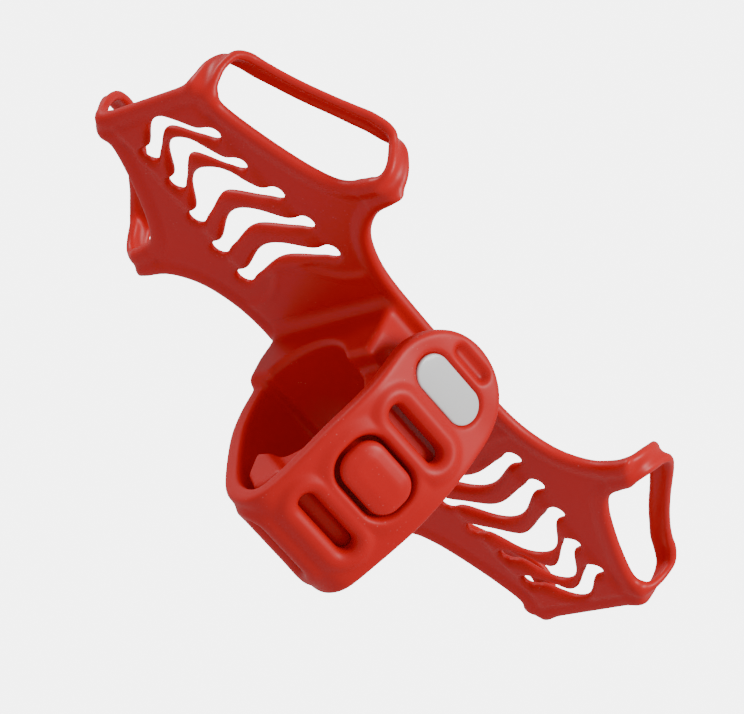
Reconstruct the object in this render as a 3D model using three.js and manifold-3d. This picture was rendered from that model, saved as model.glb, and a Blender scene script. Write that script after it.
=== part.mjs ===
// A stretch-silicone phone tie for a bicycle stem.
//
// Frame, in millimetres: z = 0 is the plane that the phone's back rests on, +Z points out of the
// screen, +Y runs along the phone, and the origin is the middle of the tie. The tie is drawn as it is
// worn: four corner bands over the phone's corners, and the long strap hooked on its button under a
// stem that runs along Y. The two halves of the web mirror each other in X and in Y.

import * as THREE from 'three';
import { mergeVertices } from 'three/addons/utils/BufferGeometryUtils.js';
import Module from 'manifold-3d';

const wasm = await Module();
wasm.setup();

// ---------------------------------------------------------------- driving dimensions

// the phone that the bands go round
const PHONE_WIDTH = 70.9;
const PHONE_LENGTH = 143.6;
const PHONE_THICKNESS = 7.7;

// the stem that the saddle and the strap go round
const STEM_RADIUS = 12.5;
const STEM_CLEARANCE = 0.3;
const SEAT_DEPTH = 9.2;           // from the phone's back to the crown of the stem's seat

// the web behind the phone
const WEB_THICKNESS = 2.4;
const WAIST_HALF_WIDTH = 19.0;    // of the solid hub
const HUB_FLARE = 2.2;            // how much wider the hub is where a lattice web starts
const BEAM_OVERHANG = 1.9;        // of the end beam past the phone's end
const BEAM_WIDTH = 4.4;
const LATTICE_LENGTH = 47.7;      // from the outer edge of the end beam to the hub
const SIDE_ARM_INSET = 34.3;      // from there to the middle of the arm for the phone's long edge
const SIDE_ARM_WIDTH = 6.0;
const END_ROOT_X = 14.5;          // where a corner band leaves the end beam

// the lattice: waves of silicone between gaps with round ends
const RIB_FIELD_HALF_WIDTH = 9.6;
const LOBE_RADIUS = 1.9;
const GAP_NECK = 0.9;             // half height of a gap beside its round end
const WAVES = [                   // the gaps, from the hub outwards: inset from the end beam's edge
  { inset: 40.3, half: 1.9, endX: 12.3, drop: 3.6 },      // half: half height in the middle
  { inset: 31.1, half: 2.35, endX: 12.3, drop: 4.9 },     // endX: half length
  { inset: 21.0, half: 3.4, endX: 11.3, drop: 6.8 },      // drop: of the ends towards the hub
  { inset: 11.8, half: 2.15, endX: 8.9, drop: 7.3 },
  { inset: 5.6, half: 1.3, endX: 8.9, drop: 5.5 },
];

// corner bands
const BAND_WIDTH = 5.6;
const BAND_THICKNESS = 1.9;
const BAND_CLEARANCE = 0.25;      // to the phone
const BAND_STEPS = 26;

// the saddle on the stem
const SADDLE_HALF_LENGTH = 15.0;
const SADDLE_WALL = 4.2;          // beside the seat
const SADDLE_FOOT_RISE = 7.0;     // of the saddle's feet above the stem's axis

// the long strap and what is on it; places along it are measured from its free end
const STRAP_WIDTH = 26.5;
const STRAP_THICKNESS = 3.6;
const SLOT_PITCH = 11.6;
const SLOT_LENGTH = 15.0;         // across the strap
const SLOT_OPENING = 3.5;         // along the strap
const FIRST_SLOT = 22.0;
const RIM_WIDTH = 2.6;
const RIM_HEIGHT = 0.8;
const TAB_SEAM = 16.2;
const LAST_SLOT_INSET = 14.0;     // least distance from a slot to the saddle
const FINGER_SLOT = { at: 3.4, opening: 2.8, length: 9.8, depth: 1.3 };
const BADGE = { at: 10.9, opening: 7.6, length: 16.6, depth: 1.0, proud: 0.15 };

// the button arm and its button
const ARM_HALF_WIDTH = 10.5;
const ARM_SLACK = 2.4;            // how far the arm stands off the side of the stem
const ARM_END_BEFORE = 5.5;       // from the turn's lowest place, along the strap that covers it
const HEAD_HALF_WIDTH = 12.6;
const HEAD_END_AFTER = 5.5;       // from the turn's lowest place
const HEAD_CLEARANCE = 1.0;       // between the head and the leg of the strap
const BUTTON_SLOT = 1;            // the slot that the button is in, counted from 0 at the tab
const BUTTON_SHIFT = -0.6;        // of the button from where that slot would be
const CAP_LENGTH = 10.2;          // along the strap
const CAP_WIDTH = 15.6;           // across it
const CAP_HEIGHT = 3.2;
const NECK_LENGTH = 4.0;
const NECK_WIDTH = 11.0;
const NECK_HEIGHT = 3.0;
const ARM_CLEARANCE = 0.4;        // between the arm and the strap over it
const BUTTON_TILT_GAP = 0.6;      // under the neck
const CAP_CLEARANCE = 1.2;        // between the cap and the lips of its hole

const GAP = 0.3;                  // between neighbouring pieces
const CURVE_STEPS = 10;

// ---------------------------------------------------------------- worked out from those

const phoneEdgeX = PHONE_WIDTH / 2;
const phoneEdgeY = PHONE_LENGTH / 2;
const webMiddleZ = -WEB_THICKNESS / 2;
const bandOffset = BAND_CLEARANCE + BAND_THICKNESS / 2;
const beamEdge = phoneEdgeY + BEAM_OVERHANG;
const hubEnd = beamEdge - LATTICE_LENGTH;
const sideArmY = beamEdge - SIDE_ARM_INSET;
const sideRoot = new THREE.Vector2(phoneEdgeX - 0.25, sideArmY);
const endRoot = new THREE.Vector2(END_ROOT_X, beamEdge - BEAM_WIDTH / 2 + 0.4);
const cornerLine = endRoot.clone().sub(sideRoot).normalize();
const cornerOut = new THREE.Vector2(cornerLine.y, -cornerLine.x);
const seatRadius = STEM_RADIUS + STEM_CLEARANCE;
const stemAxisZ = -SEAT_DEPTH - seatRadius;
const saddleHalfWidth = seatRadius + SADDLE_WALL;
const saddleFootZ = stemAxisZ + SADDLE_FOOT_RISE;
const gaps = WAVES.map(({ inset, half, endX, drop }) => (
  { y: beamEdge - inset, half, endX, endY: beamEdge - inset - drop }));
const buttonHole = { opening: CAP_LENGTH + 2 * CAP_CLEARANCE, length: CAP_WIDTH + 2 * CAP_CLEARANCE };

// ---------------------------------------------------------------- materials

const red = (r, g, b, roughness) => new THREE.MeshStandardMaterial({
  color: new THREE.Color().setRGB(r, g, b, THREE.SRGBColorSpace), roughness, metalness: 0 });
const silicone = () => red(0.80, 0.20, 0.18, 0.55);
const stretchedSilicone = () => red(0.84, 0.23, 0.20, 0.5);
const badgePlastic = () => red(0.87, 0.87, 0.86, 0.4);

// ---------------------------------------------------------------- solids and booleans

function toSolid(geometry) {
  const bare = geometry.clone();
  bare.deleteAttribute('normal');
  bare.deleteAttribute('uv');
  const merged = mergeVertices(bare, 1e-4);
  return new wasm.Manifold(new wasm.Mesh({
    numProp: 3,
    vertProperties: new Float32Array(merged.attributes.position.array),
    triVerts: new Uint32Array(merged.index.array),
  }));
}

function toGeometry(solid) {
  const mesh = solid.getMesh();
  const geometry = new THREE.BufferGeometry();
  geometry.setAttribute('position', new THREE.BufferAttribute(new Float32Array(mesh.vertProperties), 3));
  geometry.setIndex(new THREE.BufferAttribute(new Uint32Array(mesh.triVerts), 1));
  geometry.computeVertexNormals();
  return geometry;
}

function part(name, solid, material) {
  const mesh = new THREE.Mesh(toGeometry(solid), material);
  mesh.name = name;
  return mesh;
}

// a box between two corners
function block(low, high) {
  const geometry = new THREE.BoxGeometry(high[0] - low[0], high[1] - low[1], high[2] - low[2]);
  geometry.translate((low[0] + high[0]) / 2, (low[1] + high[1]) / 2, (low[2] + high[2]) / 2);
  return toSolid(geometry);
}

// a plate whose outline is a list of [x, y], between two heights
function plate(points, lowZ, highZ) {
  const shape = new THREE.Shape(points.map(([x, y]) => new THREE.Vector2(x, y)));
  const geometry = new THREE.ExtrudeGeometry(shape, { depth: highZ - lowZ, bevelEnabled: false });
  geometry.translate(0, 0, lowZ);
  return toSolid(geometry);
}

// an outline of [x, z] points pushed along Y, from -halfWidth to halfWidth
function prismAlongY(points, halfWidth) {
  const shape = new THREE.Shape(points.map(([x, z]) => new THREE.Vector2(x, z)));
  const geometry = new THREE.ExtrudeGeometry(shape, { depth: 2 * halfWidth, bevelEnabled: false });
  geometry.rotateX(Math.PI / 2);
  geometry.translate(0, halfWidth, 0);
  return toSolid(geometry);
}

// an upright cylinder
function post(x, y, radius, lowZ, highZ, sides = 12) {
  const geometry = new THREE.CylinderGeometry(radius, radius, highZ - lowZ, sides);
  geometry.rotateX(Math.PI / 2);
  geometry.translate(x, y, (lowZ + highZ) / 2);
  return toSolid(geometry);
}

// a smooth open curve through [x, y] points, as a list of points
function smooth(points, steps = CURVE_STEPS) {
  const curve = new THREE.SplineCurve(points.map(([x, y]) => new THREE.Vector2(x, y)));
  return curve.getPoints(steps).map((p) => [p.x, p.y]);
}

// a mesh turned over in X, in Y or in both, with its faces kept pointing out
function mirrored(solid, signX, signY) {
  const geometry = toGeometry(solid);
  geometry.scale(signX, signY, 1);
  if (signX * signY < 0) {
    const index = geometry.index.array;
    for (let i = 0; i < index.length; i += 3) {
      [index[i], index[i + 1]] = [index[i + 1], index[i]];
    }
  }
  return toSolid(geometry);
}

// the side of the slanted upright plane through a band's two roots that faces the phone's corner
function outsideCorner(clearance) {
  const size = 60;
  const geometry = new THREE.BoxGeometry(size, 3 * size, size);
  geometry.translate(size / 2 + clearance, 0, 0);
  geometry.rotateZ(Math.atan2(cornerOut.y, cornerOut.x));
  geometry.translate(sideRoot.x, sideRoot.y, 0);
  return toSolid(geometry);
}

// ---------------------------------------------------------------- the web behind the phone

// right-hand edge of a web half, from the hub seam out to the end beam
function webEdge() {
  const armInner = sideArmY - SIDE_ARM_WIDTH / 2;
  const armOuter = sideArmY + SIDE_ARM_WIDTH / 2;
  const armEnd = phoneEdgeX + 3;
  const flare = (share) => WAIST_HALF_WIDTH + (phoneEdgeX - WAIST_HALF_WIDTH) * share;
  const towardsArm = smooth([
    [WAIST_HALF_WIDTH + HUB_FLARE, hubEnd],
    [flare(0.32), armInner - 5.2],
    [flare(0.63), armInner - 1.5],
    [phoneEdgeX, armInner],
  ]);
  const towardsEnd = smooth([
    [flare(0.82), armOuter],
    [flare(0.5), armOuter + 1.5],
    [flare(0.3), armOuter + 5.1],
    [flare(0.12), armOuter + 10.6],
    [END_ROOT_X + 3.5, beamEdge - 13.7],
    [END_ROOT_X + 1.4, beamEdge - 7],
    [END_ROOT_X + 2.3, beamEdge - 4],
    [END_ROOT_X + 5, beamEdge - 1.5],
  ], 16);
  return [
    ...towardsArm,
    [armEnd, armInner],
    [armEnd, armOuter],
    ...towardsEnd,
    [END_ROOT_X + 3, beamEdge + 0.6],
    [END_ROOT_X - 2, beamEdge],
  ];
}

// height of the middle of a gap at x: a wave that falls towards the hub at both ends
function gapMiddle(gap, x) {
  const along = Math.min(Math.abs(x) / gap.endX, 1);
  return gap.y - (gap.y - gap.endY) * (1 - Math.cos(Math.PI * along)) / 2;
}

function gapHalf(gap, x) {
  const along = Math.min(Math.abs(x) / gap.endX, 1);
  return GAP_NECK + (gap.half - GAP_NECK) * Math.cos(Math.PI * along / 2) ** 2;
}

// the cutter for one gap: the wave, and a round lobe at each end
function gapCutter(gap) {
  const count = 14;
  const outer = [];
  const inner = [];
  for (let i = 0; i <= count; i += 1) {
    const x = gap.endX * (2 * i / count - 1);
    outer.push([x, gapMiddle(gap, x) + gapHalf(gap, x)]);
    inner.push([x, gapMiddle(gap, x) - gapHalf(gap, x)]);
  }
  const low = -WEB_THICKNESS - 1;
  const high = 1;
  return plate([...inner, ...outer.reverse()], low, high)
    .add(post(gap.endX, gap.endY, LOBE_RADIUS, low, high))
    .add(post(-gap.endX, gap.endY, LOBE_RADIUS, low, high));
}

// the lattice field between the two borders, from the first gap to the last
function ribField(clearance) {
  const halfWidth = RIB_FIELD_HALF_WIDTH + clearance;
  const count = 10;
  const first = gaps[0];
  const last = gaps[gaps.length - 1];
  const hubSide = [];
  const endSide = [];
  for (let i = 0; i <= count; i += 1) {
    const x = halfWidth * (2 * i / count - 1);
    hubSide.push([x, gapMiddle(first, x)]);
    endSide.push([x, gapMiddle(last, x)]);
  }
  return plate([...hubSide, ...endSide.reverse()], -WEB_THICKNESS - 1, 1);
}

// one half of the web in the +Y direction: the frame round the lattice, and its four ribs
function webHalf() {
  const right = webEdge();
  const left = right.map(([x, y]) => [-x, y]).reverse();
  const outline = [...right, ...left];
  const corner = outsideCorner(-GAP / 2);
  let frame = plate(outline, -WEB_THICKNESS, 0)
    .subtract(corner)
    .subtract(mirrored(corner, -1, 1))
    .subtract(block([-60, 0, -9], [60, hubEnd + GAP / 2, 9]));
  for (const gap of gaps) frame = frame.subtract(gapCutter(gap));
  frame = frame.subtract(ribField(GAP));

  const ribs = [];
  for (let k = 0; k + 1 < gaps.length; k += 1) {
    const near = gaps[k];
    const far = gaps[k + 1];
    const count = 12;
    const nearSide = [];
    const farSide = [];
    for (let i = 0; i <= count; i += 1) {
      const x = RIB_FIELD_HALF_WIDTH * (2 * i / count - 1);
      nearSide.push([x, gapMiddle(near, x)]);
      farSide.push([x, gapMiddle(far, x)]);
    }
    const strip = plate([...nearSide, ...farSide.reverse()], -WEB_THICKNESS, 0);
    ribs.push(strip.subtract(gapCutter(near)).subtract(gapCutter(far)));
  }
  return { frame, ribs };
}

function hubPlate() {
  const waist = smooth([
    [WAIST_HALF_WIDTH + HUB_FLARE, -hubEnd],
    [WAIST_HALF_WIDTH + 0.5, -hubEnd * 0.75],
    [WAIST_HALF_WIDTH, -hubEnd * 0.35],
    [WAIST_HALF_WIDTH, hubEnd * 0.35],
    [WAIST_HALF_WIDTH + 0.5, hubEnd * 0.75],
    [WAIST_HALF_WIDTH + HUB_FLARE, hubEnd],
  ]);
  const outline = [...waist, ...waist.map(([x, y]) => [-x, -y])];
  const seam = hubEnd - GAP / 2;
  return plate(outline, -WEB_THICKNESS, 0)
    .intersect(block([-60, -seam, -9], [60, seam, 9]));
}

// ---------------------------------------------------------------- corner bands

// an oblong section carried along a path, with its wide side held along wideAt(t)
function ribbonSolid(path, wideAt, width, thickness, steps) {
  const w = width / 2;
  const h = thickness / 2;
  const section = new THREE.Shape([
    [-w, -h * 0.45], [-w * 0.78, -h], [w * 0.78, -h], [w, -h * 0.45],
    [w, h * 0.45], [w * 0.78, h], [-w * 0.78, h], [-w, h * 0.45],
  ].map(([x, y]) => new THREE.Vector2(x, y)));
  const geometry = new THREE.ExtrudeGeometry(section, { depth: 1, steps, bevelEnabled: false });
  const position = geometry.attributes.position;
  const point = new THREE.Vector3();
  for (let i = 0; i < position.count; i += 1) {
    point.fromBufferAttribute(position, i);
    const t = point.z;
    const along = path.getTangent(t);
    const wide = wideAt(t);
    wide.addScaledVector(along, -wide.dot(along)).normalize();
    const thin = new THREE.Vector3().crossVectors(along, wide);
    const place = path.getPoint(t).addScaledVector(wide, point.x).addScaledVector(thin, point.y);
    position.setXYZ(i, place.x, place.y, place.z);
  }
  return toSolid(geometry);
}

// the band of the corner at +X +Y: up the long edge, over the glass, down the end
function cornerBand() {
  const sideX = phoneEdgeX + bandOffset;
  const endY = phoneEdgeY + bandOffset;
  const glassZ = PHONE_THICKNESS + bandOffset;
  const path = new THREE.CatmullRomCurve3([
    new THREE.Vector3(sideRoot.x - 4, sideRoot.y, webMiddleZ),
    new THREE.Vector3(sideRoot.x, sideRoot.y, webMiddleZ),
    new THREE.Vector3(sideX + 0.3, sideRoot.y + 0.6, PHONE_THICKNESS * 0.2),
    new THREE.Vector3(sideX + 0.4, sideRoot.y + 1.9, PHONE_THICKNESS * 0.6),
    new THREE.Vector3(sideX - 0.7, sideRoot.y + 4.2, glassZ - 1.3),
    new THREE.Vector3(sideX - 3.5, sideRoot.y + 7.9, glassZ),
    new THREE.Vector3(sideX - 6.7, sideRoot.y + 11.9, glassZ),
    new THREE.Vector3((sideX + endRoot.x) / 2 - 1.8, (sideRoot.y + endY) / 2 + 2.7, glassZ),
    new THREE.Vector3(endRoot.x + 4.7, endY - 7.3, glassZ),
    new THREE.Vector3(endRoot.x + 3.3, endY - 3.8, glassZ - 0.4),
    new THREE.Vector3(endRoot.x + 2.4, endY - 1.3, glassZ - 1.9),
    new THREE.Vector3(endRoot.x + 1.3, endY - 0.2, PHONE_THICKNESS * 0.5),
    new THREE.Vector3(endRoot.x + 0.6, endY - 0.5, PHONE_THICKNESS * 0.1),
    new THREE.Vector3(endRoot.x, endRoot.y, webMiddleZ),
    new THREE.Vector3(endRoot.x - 3, endRoot.y - 1.9, webMiddleZ),
  ], false, 'catmullrom', 0.5);
  const front = Math.atan2(cornerOut.y, cornerOut.x);
  const turns = [[0, Math.PI / 2], [0.22, Math.PI / 2], [0.42, front], [0.62, front], [0.8, 0], [1, front - Math.PI / 2]];
  const wideAt = (t) => {
    const k = turns.findIndex(([end]) => end >= t);
    const [t1, angle1] = turns[Math.max(k, 1)];
    const [t0, angle0] = turns[Math.max(k, 1) - 1];
    const angle = THREE.MathUtils.mapLinear(t, t0, t1, angle0, angle1);
    return new THREE.Vector3(Math.cos(angle), Math.sin(angle), 0);
  };
  const clear = outsideCorner(GAP / 2).add(block([-80, -9, GAP], [90, 120, 40]));
  return ribbonSolid(path, wideAt, BAND_WIDTH, BAND_THICKNESS, BAND_STEPS).intersect(clear);
}

// ---------------------------------------------------------------- the strap's course

// middle of the strap's thickness in the XZ plane, from its free end, round the turn, to the saddle
const legX = seatRadius + STRAP_THICKNESS / 2;
const strapCourse = new THREE.SplineCurve([
  [-legX - 12.3, 0.1 - WEB_THICKNESS],
  [-legX - 11.2, stemAxisZ + 15],
  [-legX - 8.8, stemAxisZ + 8.5],
  [-legX - 6.4, stemAxisZ - 1.6],
  [-legX - 0.7, stemAxisZ - seatRadius + 0.8],
  [-legX + 6.8, stemAxisZ - seatRadius - 9.3],
  [-legX + 11, stemAxisZ - seatRadius - 12.2],
  [legX - 12.8, stemAxisZ - seatRadius - 10.9],
  [legX - 8, stemAxisZ - seatRadius - 6.4],
  [legX - 1.9, stemAxisZ - seatRadius + 5.3],
  [legX, stemAxisZ],
  [legX, saddleFootZ],
].map(([x, z]) => new THREE.Vector2(x, z)));
strapCourse.arcLengthDivisions = 400;
const courseLength = strapCourse.getLength();

// how far along the course its lowest place is
function lowestOnCourse() {
  const samples = strapCourse.getSpacedPoints(400);
  const lowest = samples.reduce((best, point, i) => (point.y < samples[best].y ? i : best), 0);
  return courseLength * lowest / 400;
}

const turnBottom = lowestOnCourse();
const slotAt = (number) => FIRST_SLOT + number * SLOT_PITCH;
const buttonAt = slotAt(BUTTON_SLOT) + BUTTON_SHIFT;

// the strap flexes midway between two slots, at the turn and one slot further on
const turnSlot = Math.round((turnBottom - FIRST_SLOT) / SLOT_PITCH + 0.5);
const turnSeam = slotAt(turnSlot - 0.5);
const legSeam = slotAt(turnSlot + 0.5);
const armEnd = turnBottom - ARM_END_BEFORE;
const headEnd = turnBottom + HEAD_END_AFTER;

// a place on the course: the point, the way along it, and the way out of the loop
function onStrap(distance, outward = 0) {
  const u = THREE.MathUtils.clamp(distance / courseLength, 0, 1);
  const point = strapCourse.getPointAt(u);
  const along = strapCourse.getTangentAt(u);
  const out = new THREE.Vector2(along.y, -along.x);
  if (out.dot(new THREE.Vector2(point.x, point.y - stemAxisZ)) < 0) out.negate();
  return { x: point.x + out.x * outward, z: point.y + out.y * outward, along, out };
}

// a strip of the strap between two places, from one depth to another, as wide as asked
function strapStrip(from, to, inward, outward, halfWidth) {
  const steps = Math.max(2, Math.round((to - from) / 3));
  const outside = [];
  const inside = [];
  for (let i = 0; i <= steps; i += 1) {
    const distance = from + (to - from) * i / steps;
    const o = onStrap(distance, outward);
    const n = onStrap(distance, inward);
    outside.push([o.x, o.z]);
    inside.push([n.x, n.z]);
  }
  return prismAlongY([...outside, ...inside.reverse()], halfWidth);
}

// a slot-shaped prism standing on the strap: opening along it, length across it
function slotPrism(at, opening, length, lowest, highest, roundness = 0.5) {
  const radius = Math.min(opening, length) * roundness;
  const shape = new THREE.Shape();
  const x = opening / 2;
  const y = length / 2;
  shape.moveTo(x, -y + radius);
  shape.lineTo(x, y - radius);
  shape.absarc(x - radius, y - radius, radius, 0, Math.PI / 2, false);
  shape.lineTo(-x + radius, y);
  shape.absarc(-x + radius, y - radius, radius, Math.PI / 2, Math.PI, false);
  shape.lineTo(-x, -y + radius);
  shape.absarc(-x + radius, -y + radius, radius, Math.PI, 1.5 * Math.PI, false);
  shape.lineTo(x - radius, -y);
  shape.absarc(x - radius, -y + radius, radius, 1.5 * Math.PI, 2 * Math.PI, false);
  const geometry = new THREE.ExtrudeGeometry(shape, {
    depth: highest - lowest, bevelEnabled: false, curveSegments: 4 });
  geometry.translate(0, 0, lowest);
  const { x: px, z: pz, along, out } = onStrap(at);
  const alongAxis = new THREE.Vector3(along.x, 0, along.y);
  const outAxis = new THREE.Vector3(out.x, 0, out.y);
  const acrossAxis = new THREE.Vector3().crossVectors(outAxis, alongAxis);
  geometry.applyMatrix4(new THREE.Matrix4().makeBasis(alongAxis, acrossAxis, outAxis));
  geometry.translate(px, 0, pz);
  return toSolid(geometry);
}

const halfStrap = STRAP_THICKNESS / 2;

// a rim round an opening, standing out of the strap's outer face
function rim(at, opening, length) {
  return slotPrism(at, opening + 2 * RIM_WIDTH, length + 2 * RIM_WIDTH, -halfStrap * 0.5, halfStrap + RIM_HEIGHT);
}

function throughSlot(at, opening, length, roundness) {
  return slotPrism(at, opening, length, -halfStrap - 2, halfStrap + 3, roundness);
}

// a piece of strap with a rimmed slot added at each of the places given
function withSlots(strip, places) {
  let piece = strip;
  for (const at of places) piece = piece.add(rim(at, SLOT_OPENING, SLOT_LENGTH));
  for (const at of places) piece = piece.subtract(throughSlot(at, SLOT_OPENING, SLOT_LENGTH));
  return piece;
}

function strapPiece(from, to, places) {
  return withSlots(strapStrip(from, to, -halfStrap, halfStrap, STRAP_WIDTH / 2), places);
}

// the slots between two places on the strap, without the one that the button holds
function slotsBetween(from, to) {
  const places = [];
  for (let number = 0; slotAt(number) < to; number += 1) {
    if (slotAt(number) > from && number !== BUTTON_SLOT) places.push(slotAt(number));
  }
  return places;
}

// the free end: half round, with a blind slot for a fingertip and a pocket for the badge
function strapTab() {
  const roundEnd = slotPrism(STRAP_WIDTH * 0.7, STRAP_WIDTH * 1.4, STRAP_WIDTH, -8, 8);
  const face = halfStrap;
  const pocket = slotPrism(BADGE.at, BADGE.opening + GAP * 2, BADGE.length + GAP * 2, face - BADGE.depth, face + 2);
  const { at, opening, length, depth } = FINGER_SLOT;
  return strapStrip(0, TAB_SEAM - GAP / 2, -halfStrap, halfStrap, STRAP_WIDTH / 2)
    .intersect(roundEnd)
    .subtract(slotPrism(at, opening, length, face - depth, face + 2))
    .subtract(pocket);
}

function badgePlate() {
  const floor = halfStrap - BADGE.depth + GAP;
  return slotPrism(BADGE.at, BADGE.opening, BADGE.length, floor, halfStrap + BADGE.proud);
}

// the stretch over the button: a slot on each side of the hole that the button holds
function strapFront() {
  const lip = 1.4;
  const { opening, length } = buttonHole;
  const collar = slotPrism(buttonAt, opening + 2 * lip, length + 2 * lip,
    -halfStrap * 0.5, halfStrap + RIM_HEIGHT, 0.4);
  const front = strapStrip(TAB_SEAM + GAP / 2, turnSeam - GAP / 2, -halfStrap, halfStrap, STRAP_WIDTH / 2);
  return withSlots(front.add(collar), slotsBetween(TAB_SEAM, turnSeam))
    .subtract(throughSlot(buttonAt, opening, length, 0.4));
}

// the short link that goes round the turn
function strapTurn() {
  return strapPiece(turnSeam + GAP / 2, legSeam - GAP / 2, slotsBetween(turnSeam, legSeam));
}

// the far side, up to the saddle
function strapLeg() {
  const places = slotsBetween(legSeam, courseLength - LAST_SLOT_INSET);
  return strapPiece(legSeam + GAP / 2, courseLength - GAP, places);
}

// ---------------------------------------------------------------- the button arm

const armOutside = -halfStrap - ARM_CLEARANCE;
const seatReach = Math.acos(SADDLE_FOOT_RISE / seatRadius);

// a place on the arm's inner face, at an angle round the stem from straight up towards -X
function onArmInside(angle) {
  const slackFrom = THREE.MathUtils.degToRad(50);
  const slackTo = THREE.MathUtils.degToRad(140);
  const share = THREE.MathUtils.clamp((angle - slackFrom) / (slackTo - slackFrom), 0, 1);
  const radius = seatRadius + ARM_SLACK * Math.sin(Math.PI * share) ** 2;
  return [-radius * Math.sin(angle), stemAxisZ + radius * Math.cos(angle)];
}

function arcInside(fromDegrees, toDegrees, steps) {
  return Array.from({ length: steps + 1 }, (_, i) => onArmInside(
    THREE.MathUtils.degToRad(fromDegrees + (toDegrees - fromDegrees) * i / steps)));
}

function underStrap(from, to, steps) {
  return Array.from({ length: steps + 1 }, (_, i) => {
    const { x, z } = onStrap(from + (to - from) * i / steps, armOutside);
    return [x, z];
  });
}

const headFrom = 186;             // where the arm ends and its head starts, round the stem
const headTo = 200;

// from the saddle's foot, down the side of the stem and under it
function buttonArm() {
  const top = saddleFootZ - GAP;
  const [rootInsideX] = onArmInside(seatReach);
  return prismAlongY([
    [-saddleHalfWidth, top],
    [-saddleHalfWidth - 0.9, top - 3],
    ...underStrap(slotAt(0) - 1, armEnd, 8),
    ...arcInside(headFrom - 2, THREE.MathUtils.radToDeg(seatReach) + 6, 12),
    [rootInsideX, top],
  ], ARM_HALF_WIDTH);
}

// the thick, wider head on the end of the arm, which the strap turns round
function armHead() {
  const last = onStrap(headEnd, armOutside - HEAD_CLEARANCE + GAP);
  const corner = onStrap(headEnd + 5, armOutside - HEAD_CLEARANCE);
  return prismAlongY([
    ...underStrap(armEnd + GAP * 2, headEnd - 2, 4),
    [last.x, last.z],
    [corner.x, corner.z],
    ...arcInside(headTo, headFrom, 3),
  ], HEAD_HALF_WIDTH);
}

// a neck that passes through the strap and a pillow-shaped cap that keeps it on
function button() {
  const bevel = 1.2;
  const capFloor = armOutside + NECK_HEIGHT;
  const neckFloor = armOutside + BUTTON_TILT_GAP;
  const neck = slotPrism(buttonAt, NECK_LENGTH, NECK_WIDTH, neckFloor, capFloor + CAP_HEIGHT / 2);
  const tiers = 4;
  let cap = slotPrism(buttonAt, CAP_LENGTH - bevel, CAP_WIDTH - bevel, capFloor, capFloor + CAP_HEIGHT, 0.4);
  for (let i = 0; i < tiers; i += 1) {
    const across = Math.PI / 2 * (i + 0.5) / tiers;
    const shrink = 2 * bevel * (1 - Math.cos(across));
    const height = capFloor + bevel * 0.5 + (CAP_HEIGHT - bevel) * Math.sin(across);
    cap = cap.add(slotPrism(buttonAt, CAP_LENGTH - shrink, CAP_WIDTH - shrink, capFloor + bevel * 0.5, height, 0.4));
  }
  return cap.add(neck);
}

// ---------------------------------------------------------------- the saddle

function saddleBlock() {
  const top = -WEB_THICKNESS - GAP;
  const seat = [];
  const steps = 16;
  for (let i = 0; i <= steps; i += 1) {
    const angle = seatReach - 2 * seatReach * i / steps;
    seat.push([seatRadius * Math.sin(angle), stemAxisZ + seatRadius * Math.cos(angle)]);
  }
  const outline = [
    [-saddleHalfWidth, saddleFootZ],
    [-saddleHalfWidth - 0.4, saddleFootZ * 0.6],
    [-saddleHalfWidth + 0.8, top],
    [saddleHalfWidth - 0.8, top],
    [saddleHalfWidth + 0.4, saddleFootZ * 0.6],
    [saddleHalfWidth, saddleFootZ],
    ...seat,
  ];
  return prismAlongY(outline.reverse(), SADDLE_HALF_LENGTH);
}

// ---------------------------------------------------------------- the assembly

const tie = new THREE.Group();

const hub = new THREE.Group();
hub.add(part('hub_plate', hubPlate(), silicone()));
hub.add(part('saddle_block', saddleBlock(), silicone()));
hub.add(part('strap_leg', strapLeg(), silicone()));
tie.add(hub);

const half = webHalf();
for (const [name, signY] of [['upper', 1], ['lower', -1]]) {
  const web = new THREE.Group();
  web.add(part(`${name}_web_frame`, mirrored(half.frame, 1, signY), silicone()));
  half.ribs.forEach((rib, k) => {
    web.add(part(`${name}_rib_${k + 1}`, mirrored(rib, 1, signY), silicone()));
  });
  tie.add(web);
}

const band = cornerBand();
for (const [yName, signY] of [['upper', 1], ['lower', -1]]) {
  for (const [xName, signX] of [['right', 1], ['left', -1]]) {
    tie.add(part(`${yName}_${xName}_band`, mirrored(band, signX, signY), stretchedSilicone()));
  }
}

const strap = new THREE.Group();
strap.add(part('strap_turn', strapTurn(), silicone()));
strap.add(part('strap_front', strapFront(), silicone()));
strap.add(part('strap_tab', strapTab(), silicone()));
strap.add(part('badge_plate', badgePlate(), badgePlastic()));
tie.add(strap);

const arm = new THREE.Group();
arm.add(part('button_arm', buttonArm(), silicone()));
arm.add(part('arm_head', armHead(), silicone()));
arm.add(part('button', button(), stretchedSilicone()));
tie.add(arm);

export default tie;
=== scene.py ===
# %% [markdown]
# A stretch-silicone phone tie on a bicycle stem. The real tie is one soft moulding with a plastic badge:
# a web behind the phone, four corner bands, a saddle, and a strap that is buttoned under the stem.
# The CAD frame says where everything is and how it moves. Here each stretch of the moulding gets its soft,
# filleted skin, and is cut from its neighbour only where the tie flexes.

# %% Load the frame
import math

import bmesh
import bpy
import numpy as np
from mathutils import Matrix, Vector


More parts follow.
